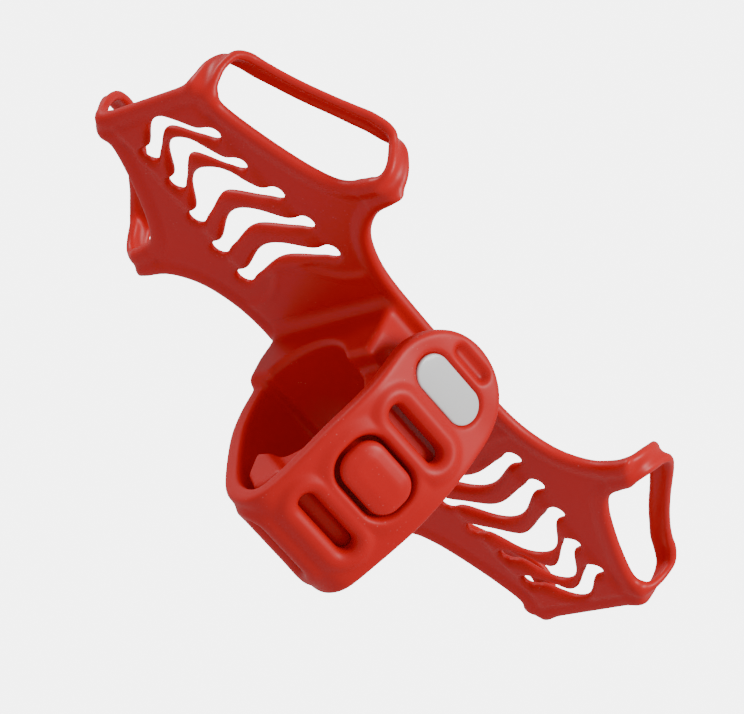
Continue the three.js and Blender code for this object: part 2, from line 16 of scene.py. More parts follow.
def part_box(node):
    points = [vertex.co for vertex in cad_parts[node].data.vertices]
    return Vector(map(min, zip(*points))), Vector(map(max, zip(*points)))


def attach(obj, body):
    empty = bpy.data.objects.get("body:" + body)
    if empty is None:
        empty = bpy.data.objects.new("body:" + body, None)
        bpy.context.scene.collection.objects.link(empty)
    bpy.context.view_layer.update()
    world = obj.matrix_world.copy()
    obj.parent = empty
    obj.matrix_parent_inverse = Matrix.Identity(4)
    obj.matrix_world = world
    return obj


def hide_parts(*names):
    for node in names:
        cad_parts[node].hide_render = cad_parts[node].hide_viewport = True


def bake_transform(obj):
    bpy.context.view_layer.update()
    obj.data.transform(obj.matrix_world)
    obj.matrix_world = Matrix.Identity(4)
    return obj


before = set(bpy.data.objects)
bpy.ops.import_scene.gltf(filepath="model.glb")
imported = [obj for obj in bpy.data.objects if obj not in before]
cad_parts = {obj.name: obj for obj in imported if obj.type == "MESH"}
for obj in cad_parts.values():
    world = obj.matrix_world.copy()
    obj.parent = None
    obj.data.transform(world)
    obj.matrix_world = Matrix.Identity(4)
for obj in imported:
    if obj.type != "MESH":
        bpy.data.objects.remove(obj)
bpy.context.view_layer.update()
MM = 0.001
VOXEL = 0.3
SOFTENING_ROUNDS = 3
FIELD_REACH = 3

# %% [markdown]
# The camera looks up at the back of the tie from behind and below one side, through a long lens. The floor
# lies far under it, so a large soft sky does most of the lighting, as a light tent does for glossy rubber.
# One broad key light and a weaker rim light shape the folds.

# %% Camera, floor and lights
CAMERA_PLACE = (-0.46223, 0.28669, -0.37852)
CAMERA_RIGHT = (-0.69402, -0.59897, 0.39948)
CAMERA_UP = (-0.17036, 0.67572, 0.71720)
CAMERA_BACK = (-0.69951, 0.42970, -0.57100)
LENS_MM = 163.6
FLOOR_Z = -0.62


def add_camera():
    data = bpy.data.cameras.new("camera")
    data.lens = LENS_MM
    data.clip_end = 20
    camera = bpy.data.objects.new("camera", data)
    turn = Matrix((CAMERA_RIGHT, CAMERA_UP, CAMERA_BACK)).transposed().to_4x4()
    camera.matrix_world = Matrix.Translation(CAMERA_PLACE) @ turn
    bpy.context.collection.objects.link(camera)
    bpy.context.scene.camera = camera


def plain_material(name, colour, roughness):
    material = bpy.data.materials.new(name)
    material.use_nodes = True
    shader = material.node_tree.nodes["Principled BSDF"]
    shader.inputs["Base Color"].default_value = (*colour, 1)
    shader.inputs["Roughness"].default_value = roughness
    return material


def add_floor():
    mesh = bpy.data.meshes.new("floor")
    reach = 6.0
    corners = [(-reach, -reach, 0), (reach, -reach, 0), (reach, reach, 0), (-reach, reach, 0)]
    mesh.from_pydata([(x, y, FLOOR_Z) for x, y, _ in corners], [], [(0, 1, 2, 3)])
    mesh.materials.append(plain_material("pale_floor", (0.82, 0.82, 0.82), 0.7))
    floor = bpy.data.objects.new("floor", mesh)
    bpy.context.collection.objects.link(floor)


def add_light(name, place, target, size, power):
    data = bpy.data.lights.new(name, "AREA")
    data.shape = "DISK"
    data.size = size
    data.energy = power
    light = bpy.data.objects.new(name, data)
    light.location = place
    light.rotation_euler = (Vector(target) - Vector(place)).to_track_quat("-Z", "Y").to_euler()
    bpy.context.collection.objects.link(light)


def add_sky(colour, strength, backdrop_strength):
    world = bpy.data.worlds.new("soft_sky")
    world.use_nodes = True
    tree = world.node_tree
    lighting = tree.nodes["Background"]
    lighting.inputs["Color"].default_value = (*colour, 1)
    lighting.inputs["Strength"].default_value = strength
    backdrop = tree.nodes.new("ShaderNodeBackground")
    backdrop.inputs["Strength"].default_value = backdrop_strength
    choose = tree.nodes.new("ShaderNodeMixShader")
    tree.links.new(tree.nodes.new("ShaderNodeLightPath").outputs["Is Camera Ray"], choose.inputs[0])
    tree.links.new(lighting.outputs[0], choose.inputs[1])
    tree.links.new(backdrop.outputs[0], choose.inputs[2])
    tree.links.new(choose.outputs[0], tree.nodes["World Output"].inputs["Surface"])
    bpy.context.scene.world = world


add_camera()
add_floor()
add_sky((1.0, 1.0, 1.0), 0.62, 7.0)
middle = (0, 0, -0.015)
add_light("key", (-0.62, -0.10, 0.12), middle, 0.28, 3.4)
add_light("rim", (0.10, 0.70, 0.30), middle, 0.30, 3.0)
print("camera at", CAMERA_PLACE, "lens", LENS_MM)

# %% [markdown]
# Soft rubber has no sharp edge anywhere, and every wall runs into the next with a fillet. A distance field
# makes such shapes easily: each feature is a rule for how far a point is from its skin, features join with
# a smooth minimum, and a net of quads is drawn through the zero level. The fields below are in millimetres.

# %% Helpers for distance fields
def smoothstep(low, high, value):
    t = np.clip((value - low) / (high - low), 0, 1)
    return t * t * (3 - 2 * t)


def bump(value, width):
    return np.exp(-(value / width) ** 2)


def join_softly(a, b, fillet):
    h = np.clip(fillet - np.abs(a - b), 0, None) / fillet
    return np.minimum(a, b) - h * h * fillet / 4


def rounded_slab(outline, offset, half_thickness, radius):
    """Distance to a slab with this outline, rounded along its edges."""
    a = outline + radius
    b = np.abs(offset) - half_thickness + radius
    outside = np.hypot(np.maximum(a, 0), np.maximum(b, 0))
    return np.minimum(np.maximum(a, b), 0) + outside - radius


def slot_distance(u, v, opening, length, roundness=0.5):
    """Distance to a slot: opening along u, length along v."""
    radius = min(opening, length) * roundness
    a = np.abs(u) - opening / 2 + radius
    b = np.abs(v) - length / 2 + radius
    return np.minimum(np.maximum(a, b), 0) + np.hypot(np.maximum(a, 0), np.maximum(b, 0)) - radius


def polygon_distance(px, py, corners):
    """Signed distance to a closed outline, negative inside."""
    best = np.full(px.shape, 1e9)
    inside = np.zeros(px.shape, bool)
    for (ax, ay), (bx, by) in zip(corners, corners[1:] + corners[:1]):
        ex, ey = bx - ax, by - ay
        wx, wy = px - ax, py - ay
        length = ex * ex + ey * ey
        if length < 1e-12:
            continue
        t = np.clip((wx * ex + wy * ey) / length, 0, 1)
        best = np.minimum(best, (wx - ex * t) ** 2 + (wy - ey * t) ** 2)
        crosses = (ay > py) != (by > py)
        reach = np.where(crosses, (py - ay) * ex / (ey if abs(ey) > 1e-12 else 1e-12) + ax, -1e9)
        inside ^= crosses & (px < reach)
    return np.where(inside, -1, 1) * np.sqrt(best)


def curve_through(points, steps):
    """A smooth open curve through these points."""
    pts = [np.array(p, float) for p in points]
    pts = [pts[0]] + pts + [pts[-1]]
    out = []
    for k in range(1, len(pts) - 2):
        p0, p1, p2, p3 = pts[k - 1:k + 3]
        v0, v1 = (p2 - p0) / 2, (p3 - p1) / 2
        for t in np.linspace(0, 1, steps, endpoint=False):
            cubic = (2 * p1 - 2 * p2 + v0 + v1) * t ** 3
            square = (3 * p2 - 3 * p1 - 2 * v0 - v1) * t ** 2
            out.append(cubic + square + v0 * t + p1)
    out.append(pts[-1])
    return np.array(out)


# %% Helpers that turn a field into a mesh
def grid_axes(low, high):
    """Sample places, all on one grid for the whole tie, so that neighbouring pieces meet exactly."""
    return [np.arange(math.floor(a / VOXEL) - 2, math.ceil(b / VOXEL) + 3) * VOXEL for a, b in zip(low, high)]


def soften(field, times):
    """Blurs a field a little, which rounds its corners and leaves its flats alone."""
    for _ in range(times):
        for axis in range(3):
            middle = np.moveaxis(field, axis, 0)
            blurred = middle.copy()
            blurred[1:-1] = (middle[:-2] + 2 * middle[1:-1] + middle[2:]) / 4
            field = np.moveaxis(blurred, 0, axis)
    return field


def clipped(field):
    return np.clip(field, -FIELD_REACH, FIELD_REACH)


def net_through(field, axes):
    """Vertices and quads of a surface net through the zero level of a field."""
    field = soften(clipped(field), SOFTENING_ROUNDS)
    shape = np.array(field.shape) - 1
    total = np.zeros((*shape, 3))
    count = np.zeros(shape)
    crossings = []
    for axis in range(3):
        a = np.moveaxis(field, axis, 0)
        near, far = a[:-1], a[1:]
        cross = (near < 0) != (far < 0)
        along = np.where(cross, near / np.where(cross, near - far, 1), 0)
        crossings.append((cross, near < 0))
        others = [k for k in range(3) if k != axis]
        view_total = np.moveaxis(total, axis, 0)
        view_count = np.moveaxis(count, axis, 0)
        n1, n2 = view_count.shape[1:]
        for du in (0, 1):
            for dv in (0, 1):
                c = cross[:, du:n1 + du, dv:n2 + dv]
                view_count += c
                view_total[..., axis] += along[:, du:n1 + du, dv:n2 + dv]
                view_total[..., others[0]] += c * du
                view_total[..., others[1]] += c * dv
    used = count > 0
    number = np.full(shape, -1)
    number[used] = np.arange(used.sum())
    cells = np.argwhere(used)
    local = total[used] / count[used][:, None]
    origin = np.array([axis[0] for axis in axes])
    vertices = origin + (cells + local) * VOXEL
    quads = []
    for axis in range(3):
        cross, low_inside = crossings[axis]
        index = np.moveaxis(number, axis, 0)
        n1, n2 = cross.shape[1] - 1, cross.shape[2] - 1
        i, j, k = np.nonzero(cross[:, 1:n1, 1:n2])
        j, k = j + 1, k + 1
        quad = np.stack([index[i, j - 1, k - 1], index[i, j, k - 1], index[i, j, k], index[i, j - 1, k]], 1)
        flip = ~low_inside[i, j, k]
        if axis == 1:
            flip = ~flip
        quad[flip] = quad[flip][:, ::-1]
        quads.append(quad)
    return vertices, np.concatenate(quads)


def mesh_from(name, vertices, faces):
    mesh = bpy.data.meshes.new(name)
    mesh.vertices.add(len(vertices))
    mesh.vertices.foreach_set("co", np.asarray(vertices, np.float32).ravel())
    width = faces.shape[1]
    mesh.loops.add(faces.size)
    mesh.loops.foreach_set("vertex_index", faces.astype(np.int32).ravel())
    mesh.polygons.add(len(faces))
    mesh.polygons.foreach_set("loop_start", np.arange(0, faces.size, width, dtype=np.int32))
    mesh.update(calc_edges=True)
    mesh.polygons.foreach_set("use_smooth", np.ones(len(faces), bool))
    return mesh


def cut_flat(mesh, point, normal, only=lambda place: True):
    """Keeps what lies behind the plane and closes the cut with a flat, sharp-edged face."""
    bm = bmesh.new()
    bm.from_mesh(mesh)
    faces = [f for f in bm.faces if only(f.verts[0].co)]
    edges = list({e for f in faces for e in f.edges})
    verts = list({v for f in faces for v in f.verts})
    done = bmesh.ops.bisect_plane(bm, geom=verts + edges + faces, dist=1e-7, plane_co=point, plane_no=normal,
                                  clear_outer=True)
    rim = [e for e in done["geom_cut"] if isinstance(e, bmesh.types.BMEdge)]
    closed = bmesh.ops.holes_fill(bm, edges=rim, sides=0)["faces"]
    for face in closed:
        face.smooth = False
        for edge in face.edges:
            edge.smooth = False
    bmesh.ops.triangulate(bm, faces=closed)
    bm.to_mesh(mesh)
    bm.free()


def mirror_mesh(mesh, name, sign_x, sign_y):
    copy = mesh.copy()
    copy.name = name
    copy.transform(Matrix.Diagonal((sign_x, sign_y, 1, 1)))
    if sign_x * sign_y < 0:
        copy.flip_normals()
    return copy


def store_curvature(mesh):
    """A 'fold' attribute: above 0.5 in hollows, below it on crests."""
    count = len(mesh.vertices)
    co = np.empty(count * 3, np.float32)
    mesh.vertices.foreach_get("co", co)
    co = co.reshape(-1, 3) / MM
    edges = np.empty(len(mesh.edges) * 2, np.int32)
    mesh.edges.foreach_get("vertices", edges)
    a, b = edges.reshape(-1, 2).T
    normals = np.empty(count * 3, np.float32)
    mesh.vertices.foreach_get("normal", normals)
    normals = normals.reshape(-1, 3)
    degree = np.bincount(a, minlength=count) + np.bincount(b, minlength=count)

    def spread(values):
        out = np.zeros_like(values)
        np.add.at(out, a, values[b])
        np.add.at(out, b, values[a])
        return out / np.maximum(degree, 1).reshape(-1, *[1] * (values.ndim - 1))

    bend = ((spread(co) - co) * normals).sum(1) / VOXEL ** 2
    for _ in range(4):
        bend = 0.4 * bend + 0.6 * spread(bend)
    fold = np.clip(0.5 + bend * 0.9, 0, 1).astype(np.float32)
    attribute = mesh.attributes.new("fold", "FLOAT", "POINT")
    attribute.data.foreach_set("value", fold)


def add_piece(name, mesh, material, replaced):
    piece = bpy.data.objects.new(name, mesh)
    bpy.context.collection.objects.link(piece)
    mesh.materials.clear()
    mesh.materials.append(material)
    if replaced:
        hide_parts(*replaced)
    print(f"{name}: {len(mesh.polygons)} faces")
    return piece


# %% [markdown]
# Silicone is a satin, slightly clouded red. Shade is painted into the hollows, darkening the colour there, and
# a painted highlight makes it palest over the crests. The mould leaves a fine grain, and handling leaves
# patches of lint. Three small node groups hold these effects, and each material sets their strength.

# %% Node groups for grain, painted fold shade and highlight, and dust
def new_group(name, inputs, outputs):
    group = bpy.data.node_groups.new(name, "ShaderNodeTree")
    for label, kind, value in inputs:
        socket = group.interface.new_socket(label, in_out="INPUT", socket_type=kind)
        socket.default_value = value
    for label, kind in outputs:
        group.interface.new_socket(label, in_out="OUTPUT", socket_type=kind)
    return group, group.nodes.new("NodeGroupInput"), group.nodes.new("NodeGroupOutput")


def math_node(tree, operation, a, b=None, clamp=False):
    node = tree.nodes.new("ShaderNodeMath")
    node.operation = operation
    node.use_clamp = clamp
    for socket, value in zip(node.inputs, (a, b)):
        if value is None:
            continue
        if hasattr(value, "links"):
            tree.links.new(value, socket)
        else:
            socket.default_value = value
    return node.outputs[0]


def noise_node(tree, vector, scale, detail, roughness=0.5):
    node = tree.nodes.new("ShaderNodeTexNoise")
    node.inputs["Scale"].default_value = scale
    node.inputs["Detail"].default_value = detail
    node.inputs["Roughness"].default_value = roughness
    tree.links.new(vector, node.inputs["Vector"])
    return node.outputs["Fac"]


def mould_grain_group():
    group, enter, leave = new_group(
        "mould_grain",
        [("Vector", "NodeSocketVector", (0, 0, 0)), ("Grain", "NodeSocketFloat", 1.0),
         ("Waviness", "NodeSocketFloat", 1.0)],
        [("Height", "NodeSocketFloat"), ("Clouds", "NodeSocketFloat")])
    grain = noise_node(group, enter.outputs["Vector"], 2600, 3, 0.6)
    waves = noise_node(group, enter.outputs["Vector"], 160, 3)
    clouds = noise_node(group, enter.outputs["Vector"], 55, 4, 0.55)
    fine = math_node(group, "MULTIPLY", grain, enter.outputs["Grain"])
    broad = math_node(group, "MULTIPLY", waves, enter.outputs["Waviness"])
    group.links.new(math_node(group, "ADD", fine, broad), leave.inputs["Height"])
    group.links.new(clouds, leave.inputs["Clouds"])
    return group


def painted_shade_and_highlight_group():
    group, enter, leave = new_group(
        "painted_shade_and_highlight_masks",
        [("Strength", "NodeSocketFloat", 1.0)],
        [("Painted_shade", "NodeSocketFloat"), ("Painted_highlight", "NodeSocketFloat")])
    read = group.nodes.new("ShaderNodeAttribute")
    read.attribute_name = "fold"
    fold = read.outputs["Fac"]
    # Painted shade in concave hollows and a painted highlight on convex crests, both masks read from the
    # curvature.
    for label, low, high in (("Painted_shade", 0.53, 0.80), ("Painted_highlight", 0.47, 0.22)):
        ramp = group.nodes.new("ShaderNodeMapRange")
        ramp.interpolation_type = "SMOOTHSTEP"
        ramp.inputs["From Min"].default_value = low
        ramp.inputs["From Max"].default_value = high
        group.links.new(fold, ramp.inputs["Value"])
        mask = math_node(group, "MULTIPLY", ramp.outputs["Result"], enter.outputs["Strength"], clamp=True)
        group.links.new(mask, leave.inputs[label])
    return group


def dust_group():
    group, enter, leave = new_group(
        "fine_dust",
        [("Vector", "NodeSocketVector", (0, 0, 0)), ("Amount", "NodeSocketFloat", 0.5)],
        [("Mask", "NodeSocketFloat")])
    specks = group.nodes.new("ShaderNodeTexVoronoi")
    specks.inputs["Scale"].default_value = 900
    group.links.new(enter.outputs["Vector"], specks.inputs["Vector"])
    dots = group.nodes.new("ShaderNodeMapRange")
    dots.inputs["From Min"].default_value = 0.16
    dots.inputs["From Max"].default_value = 0.08
    group.links.new(specks.outputs["Distance"], dots.inputs["Value"])
    patches = noise_node(group, enter.outputs["Vector"], 90, 3)
    patch = group.nodes.new("ShaderNodeMapRange")
    patch.inputs["From Min"].default_value = 0.52
    patch.inputs["From Max"].default_value = 0.72
    group.links.new(patches, patch.inputs["Value"])
    mask = math_node(group, "MULTIPLY", dots.outputs["Result"], patch.outputs["Result"])
    mask = math_node(group, "MULTIPLY", mask, enter.outputs["Amount"], clamp=True)
    group.links.new(mask, leave.inputs["Mask"])
    return group


GRAIN = mould_grain_group()
PAINTED_SHADE_AND_HIGHLIGHT = painted_shade_and_highlight_group()
DUST = dust_group()
print("shader groups:", GRAIN.name, PAINTED_SHADE_AND_HIGHLIGHT.name, DUST.name)


# %% Silicone and badge materials
def mix_colour(tree, mask, a, b):
    node = tree.nodes.new("ShaderNodeMix")
    node.data_type = "RGBA"
    tree.links.new(mask, node.inputs["Factor"])
    for socket, value in ((node.inputs[6], a), (node.inputs[7], b)):
        if hasattr(value, "links"):
            tree.links.new(value, socket)
        else:
            socket.default_value = (*value, 1)
    return node.outputs[2]


def place_group(tree, group, **values):
    node = tree.nodes.new("ShaderNodeGroup")
    node.node_tree = group
    for label, value in values.items():
        socket = node.inputs[label]
        if hasattr(value, "links"):
            tree.links.new(value, socket)
        else:
            socket.default_value = value
    return node


LINT = (0.75, 0.45, 0.42)
DULL_LINT = (0.45, 0.43, 0.42)


def silicone(name, colour, painted_shade_colour, painted_highlight_colour, roughness, waviness=0.5):
    material = bpy.data.materials.new(name)
    material.use_nodes = True
    tree = material.node_tree
    shader = tree.nodes["Principled BSDF"]
    where = tree.nodes.new("ShaderNodeTexCoord").outputs["Object"]
    grain = place_group(tree, GRAIN, Vector=where, Grain=0.25, Waviness=waviness)
    painted_light = place_group(tree, PAINTED_SHADE_AND_HIGHLIGHT, Strength=1.0)
    dust = place_group(tree, DUST, Vector=where, Amount=0.22)
    darker, lighter = [c * 0.90 for c in colour], [c * 1.10 for c in colour]
    clouded = mix_colour(tree, grain.outputs["Clouds"], darker, lighter)
    # Painted shade: the colour is darkened in concave hollows, where shade falls.
    with_painted_shade = mix_colour(tree, painted_light.outputs["Painted_shade"], clouded, painted_shade_colour)
    # Painted highlight: the colour is made paler on convex crests, where light catches.
    with_painted_highlight = mix_colour(tree, painted_light.outputs["Painted_highlight"], with_painted_shade, painted_highlight_colour)
    dusty = mix_colour(tree, dust.outputs["Mask"], with_painted_highlight, LINT)
    tree.links.new(dusty, shader.inputs["Base Color"])
    rough = math_node(tree, "MULTIPLY", grain.outputs["Clouds"], 0.22)
    rough = math_node(tree, "ADD", rough, roughness - 0.11)
    rough = math_node(tree, "ADD", rough, math_node(tree, "MULTIPLY", dust.outputs["Mask"], 0.3))
    tree.links.new(rough, shader.inputs["Roughness"])
    relief = tree.nodes.new("ShaderNodeBump")
    relief.inputs["Strength"].default_value = 0.25
    relief.inputs["Distance"].default_value = 0.0002
    tree.links.new(grain.outputs["Height"], relief.inputs["Height"])
    tree.links.new(relief.outputs["Normal"], shader.inputs["Normal"])
    shader.inputs["Specular IOR Level"].default_value = 0.30
    shader.inputs["Subsurface Weight"].default_value = 0.10
    shader.inputs["Subsurface Radius"].default_value = (1.0, 0.25, 0.2)
    shader.inputs["Subsurface Scale"].default_value = 0.0008
    return material


RED = (0.56, 0.004, 0.003)
TIGHT_RED = (0.58, 0.005, 0.004)
# A darker red painted into the hollows as shade.
PAINTED_SHADE_RED = (0.36, 0.001, 0.001)
# A paler red painted onto the crests as a highlight.
PAINTED_HIGHLIGHT_RED = (0.60, 0.008, 0.006)
moulded_red = silicone("moulded_silicone", RED, PAINTED_SHADE_RED, PAINTED_HIGHLIGHT_RED, 0.46)
stretched_red = silicone("stretched_silicone", TIGHT_RED, PAINTED_SHADE_RED, PAINTED_HIGHLIGHT_RED, 0.40, 0.8)


def badge_white():
    material = bpy.data.materials.new("badge_plastic")
    material.use_nodes = True
    tree = material.node_tree
    shader = tree.nodes["Principled BSDF"]
    where = tree.nodes.new("ShaderNodeTexCoord").outputs["Object"]
    grain = place_group(tree, GRAIN, Vector=where, Grain=0.12, Waviness=0.1)
    dust = place_group(tree, DUST, Vector=where, Amount=0.3)
    clouded = mix_colour(tree, grain.outputs["Clouds"], (0.66, 0.66, 0.65), (0.76, 0.76, 0.755))
    dusty = mix_colour(tree, dust.outputs["Mask"], clouded, DULL_LINT)
    tree.links.new(dusty, shader.inputs["Base Color"])
    rough = math_node(tree, "ADD", math_node(tree, "MULTIPLY", grain.outputs["Clouds"], 0.2), 0.26)
    tree.links.new(rough, shader.inputs["Roughness"])
    relief = tree.nodes.new("ShaderNodeBump")
    relief.inputs["Strength"].default_value = 0.12
    relief.inputs["Distance"].default_value = 0.0001
    tree.links.new(grain.outputs["Height"], relief.inputs["Height"])
    tree.links.new(relief.outputs["Normal"], shader.inputs["Normal"])
    shader.inputs["Coat Weight"].default_value = 0.3
    return material


white_plastic = badge_white()

# %% [markdown]
# The web is a thin sheet with waves cut out of it, so that it stretches like a spring. A low bead runs along
# its edge, the ribs between the waves stand a little proud, and the sheet is thinner inside the border.
# All of that is a height rule on top of one flat outline, which is the same for both halves.

# %% Outline of the web
_, frame_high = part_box("upper_web_frame")
beam_edge = frame_high[1] / MM - 0.1
phone_edge_x = 35.45
WEB_THICKNESS = 2.4
HUB_END = 26.0
WAIST = 19.0
FLARE = 2.2
ARM_MIDDLE = beam_edge - 34.3
ARM_HALF = 3.0
END_ROOT_X = 14.5
SIDE_ROOT = np.array([phone_edge_x - 0.25, ARM_MIDDLE])
END_ROOT = np.array([END_ROOT_X, beam_edge - 1.8])
CORNER_LINE = (END_ROOT - SIDE_ROOT) / np.linalg.norm(END_ROOT - SIDE_ROOT)
CORNER_OUT = np.array([CORNER_LINE[1], -CORNER_LINE[0]])
WAVE_END = 1.05
NO_GAP = 50.0
# Each wave: how far in from the end beam, half its opening, how far it reaches to a side, how far it drops.
WAVES = [(40.3, 1.9, 12.3, 3.6), (31.1, 2.35, 12.3, 4.9), (21.0, 3.4, 11.3, 6.8), (11.8, 2.15, 8.9, 7.3),
         (5.6, 1.3, 8.9, 5.5)]
print("beam edge", round(beam_edge, 2))


def flare(share):
    return WAIST + (phone_edge_x - WAIST) * share


def web_edge():
    """Right-hand edge of the upper half, from the middle of the hub to the end beam."""
    inner, outer = ARM_MIDDLE - ARM_HALF, ARM_MIDDLE + ARM_HALF
    hub = curve_through([(WAIST, 0), (WAIST, HUB_END * 0.35), (WAIST + 0.5, HUB_END * 0.75),
                         (WAIST + FLARE, HUB_END), (flare(0.32), inner - 5.2), (flare(0.63), inner - 1.5),
                         (phone_edge_x, inner)], 8)
    end = curve_through([(flare(0.82), outer), (flare(0.5), outer + 1.5), (flare(0.3), outer + 5.1),
                         (flare(0.12), outer + 10.6), (END_ROOT_X + 3.5, beam_edge - 13.7),
                         (END_ROOT_X + 1.4, beam_edge - 7), (END_ROOT_X + 2.1, beam_edge - 4),
                         (END_ROOT_X + 4.2, beam_edge - 1.8)], 10)
    tip = [(phone_edge_x + 4, inner), (phone_edge_x + 4, outer)]
    top = [(END_ROOT_X + 5, beam_edge + 0.2), (END_ROOT_X - 1, beam_edge)]
    return [tuple(p) for p in hub] + tip + [tuple(p) for p in end] + top


right_edge = web_edge()
web_corners = right_edge + [(-x, y) for x, y in reversed(right_edge)]
web_corners = [(x, y if y > 0 else -9.0) for x, y in web_corners]


def gap_distance(x, y):
    """Distance to the nearest of the five wave-shaped gaps, each with a small lobe at both ends."""
    best = np.full(x.shape, 1e9)
    for inset, half, end_x, drop in WAVES:
        gap = np.full(x.shape, 1e9)
        across = np.linspace(-end_x, end_x, 61)
        share = np.abs(across) / end_x
        middle = beam_edge - inset - drop * (1 - np.cos(np.pi * share)) / 2
        reach = WAVE_END + (half + 0.1 - WAVE_END) * np.cos(np.pi * share / 2) ** 2
        for px, py, r in zip(across, middle, reach):
            gap = np.minimum(gap, np.hypot(x - px, y - py) - r * 0.92)
        for side in (-end_x, end_x):
            lobe = np.hypot(x - side, y - (beam_edge - inset - drop - 0.3)) - 1.25
            gap = join_softly(gap, lobe, 1.8)
        best = np.minimum(best, gap)
    return best


def web_field(axes, with_gaps=True):
    """The web as a field over a box of samples, the same for both halves."""
    x, y = np.meshgrid(axes[0], np.abs(axes[1]), indexing="ij")
    outline = polygon_distance(x, y, web_corners)
    corner = (np.abs(x) - SIDE_ROOT[0]) * CORNER_OUT[0] + (y - SIDE_ROOT[1]) * CORNER_OUT[1]
    gaps = gap_distance(x, y) if with_gaps else np.full(x.shape, NO_GAP)
    edge = np.maximum(-outline, 0)
    arc = 22.5 + 7.5 * np.exp(-(x / 7.5) ** 2)
    outside_hub = smoothstep(0, 1.6, y - arc)
    lattice = smoothstep(12.5, 10.0, np.abs(x)) * smoothstep(28, 30, y) * smoothstep(0.2, 1.2, gaps)
    field = smoothstep(3.1, 4.3, edge) * outside_hub
    proud = 0.20 * bump(edge - 1.6, 1.3) - 0.20 * bump(edge - 3.4, 0.7) - 0.30 * field
    proud += 0.75 * lattice * field + 0.18 * bump(y - arc, 1.0) * smoothstep(3, 4, edge)
    under = -WEB_THICKNESS - proud
    top = -0.25 * field * (1 - lattice)
    shape = np.maximum(np.maximum(outline, corner - 0.4), -gaps)
    middle, half = (top + under) / 2, (top - under) / 2
    z = axes[2][None, None, :]
    return rounded_slab(shape[..., None], z - middle[..., None], half[..., None], 1.12)


SEAM_Y = 18.0

# %% [markdown]
# The strap is a flat band bent round the stem, so it is easiest to describe unrolled: how far along the strap
# a point is, how far across, and how far off its middle. Slots, soft rims, the blind finger slot and the
# pocket for the badge are then simple shapes on a flat sheet, and the bend comes from the course it follows.

# %% Course of the strap
STRAP_HALF = 1.8
STRAP_HALF_WIDTH = 13.6
SEAT_RADIUS = 12.8
AXIS_Z = -22.0
FOOT_Z = -15.0
LEG_X = SEAT_RADIUS + STRAP_HALF
COURSE = [(-LEG_X - 12.3, -2.3), (-LEG_X - 11.2, AXIS_Z + 15), (-LEG_X - 8.8, AXIS_Z + 8.5),
          (-LEG_X - 6.4, AXIS_Z - 1.6), (-LEG_X - 0.7, AXIS_Z - 12), (-LEG_X + 6.8, AXIS_Z - 22.1),
          (-LEG_X + 11, AXIS_Z - 25), (LEG_X - 12.8, AXIS_Z - 23.7), (LEG_X - 8, AXIS_Z - 19.2),
          (LEG_X - 1.9, AXIS_Z - 7.5), (LEG_X, AXIS_Z), (LEG_X, FOOT_Z), (LEG_X, FOOT_Z + 6)]


COURSE_STEP = 0.15
STRAP_REACH = 6.0
OFF_STRAP_S = -50
OFF_STRAP_N = 20


def evenly(points, spacing):
    """Points along the same path at even spacing, and how far along it each lies."""
    lengths = np.concatenate([[0], np.cumsum(np.linalg.norm(np.diff(points, axis=0), axis=1))])
    places = np.arange(0, lengths[-1], spacing)
    return places, np.stack([np.interp(places, lengths, points[:, k]) for k in range(points.shape[1])], 1)


course_s, course_xz = evenly(curve_through(COURSE, 40), COURSE_STEP)
course_along = np.gradient(course_xz, axis=0)
course_along /= np.linalg.norm(course_along, axis=1)[:, None]
course_out = np.stack([course_along[:, 1], -course_along[:, 0]], 1)
course_out *= np.sign((course_out * (course_xz - (0, AXIS_Z))).sum(1))[:, None]
print("strap course", round(float(course_s[-1]), 1), "mm")


def unroll(x, z):
    """How far along the strap and how far off its middle each point of the XZ plane is."""
    best = np.full(x.shape, 1e9)
    nearest = np.zeros(x.shape, int)
    for k, (px, pz) in enumerate(course_xz):
        d = (x - px) ** 2 + (z - pz) ** 2
        closer = d < best
        best[closer] = d[closer]
        nearest[closer] = k
    px, pz = np.moveaxis(course_xz[nearest], -1, 0)
    ax, az = np.moveaxis(course_along[nearest], -1, 0)
    ox, oz = np.moveaxis(course_out[nearest], -1, 0)
    s = course_s[nearest] + (x - px) * ax + (z - pz) * az
    n = (x - px) * ox + (z - pz) * oz
    far = best > STRAP_REACH ** 2
    return np.where(far, OFF_STRAP_S, s), np.where(far, OFF_STRAP_N, n)


def strap_place(s, off=0.0):
    """A place on the strap in metres, the way along it and the way out of it."""
    k = int(np.clip(round(s / COURSE_STEP), 0, len(course_s) - 1))
    x, z = course_xz[k] + course_out[k] * off
    along = Vector((course_along[k][0], 0, course_along[k][1]))
    out = Vector((course_out[k][0], 0, course_out[k][1]))
    return Vector((x * MM, 0, z * MM)), along, out


# %% The strap as a field
FIRST_SLOT = 22.0
SLOT_PITCH = 11.6
SLOT_OPENING = 3.5
SLOT_LENGTH = 15.0
BUTTON_AT = 33.0
HOLE_OPENING = 11.5
HOLE_LENGTH = 16.8
STRAP_SHIFT = 0.45
BADGE_AT = 10.9
BADGE_OPENING = 7.6
BADGE_LENGTH = 16.6
FINGER_AT = 3.9
FINGER_OPENING = 2.6
FINGER_LENGTH = 9.6
FINGER_DEPTH = 1.35
BADGE_DEPTH = 1.0
slots = [FIRST_SLOT + k * SLOT_PITCH for k in (0, 2, 3, 4)]


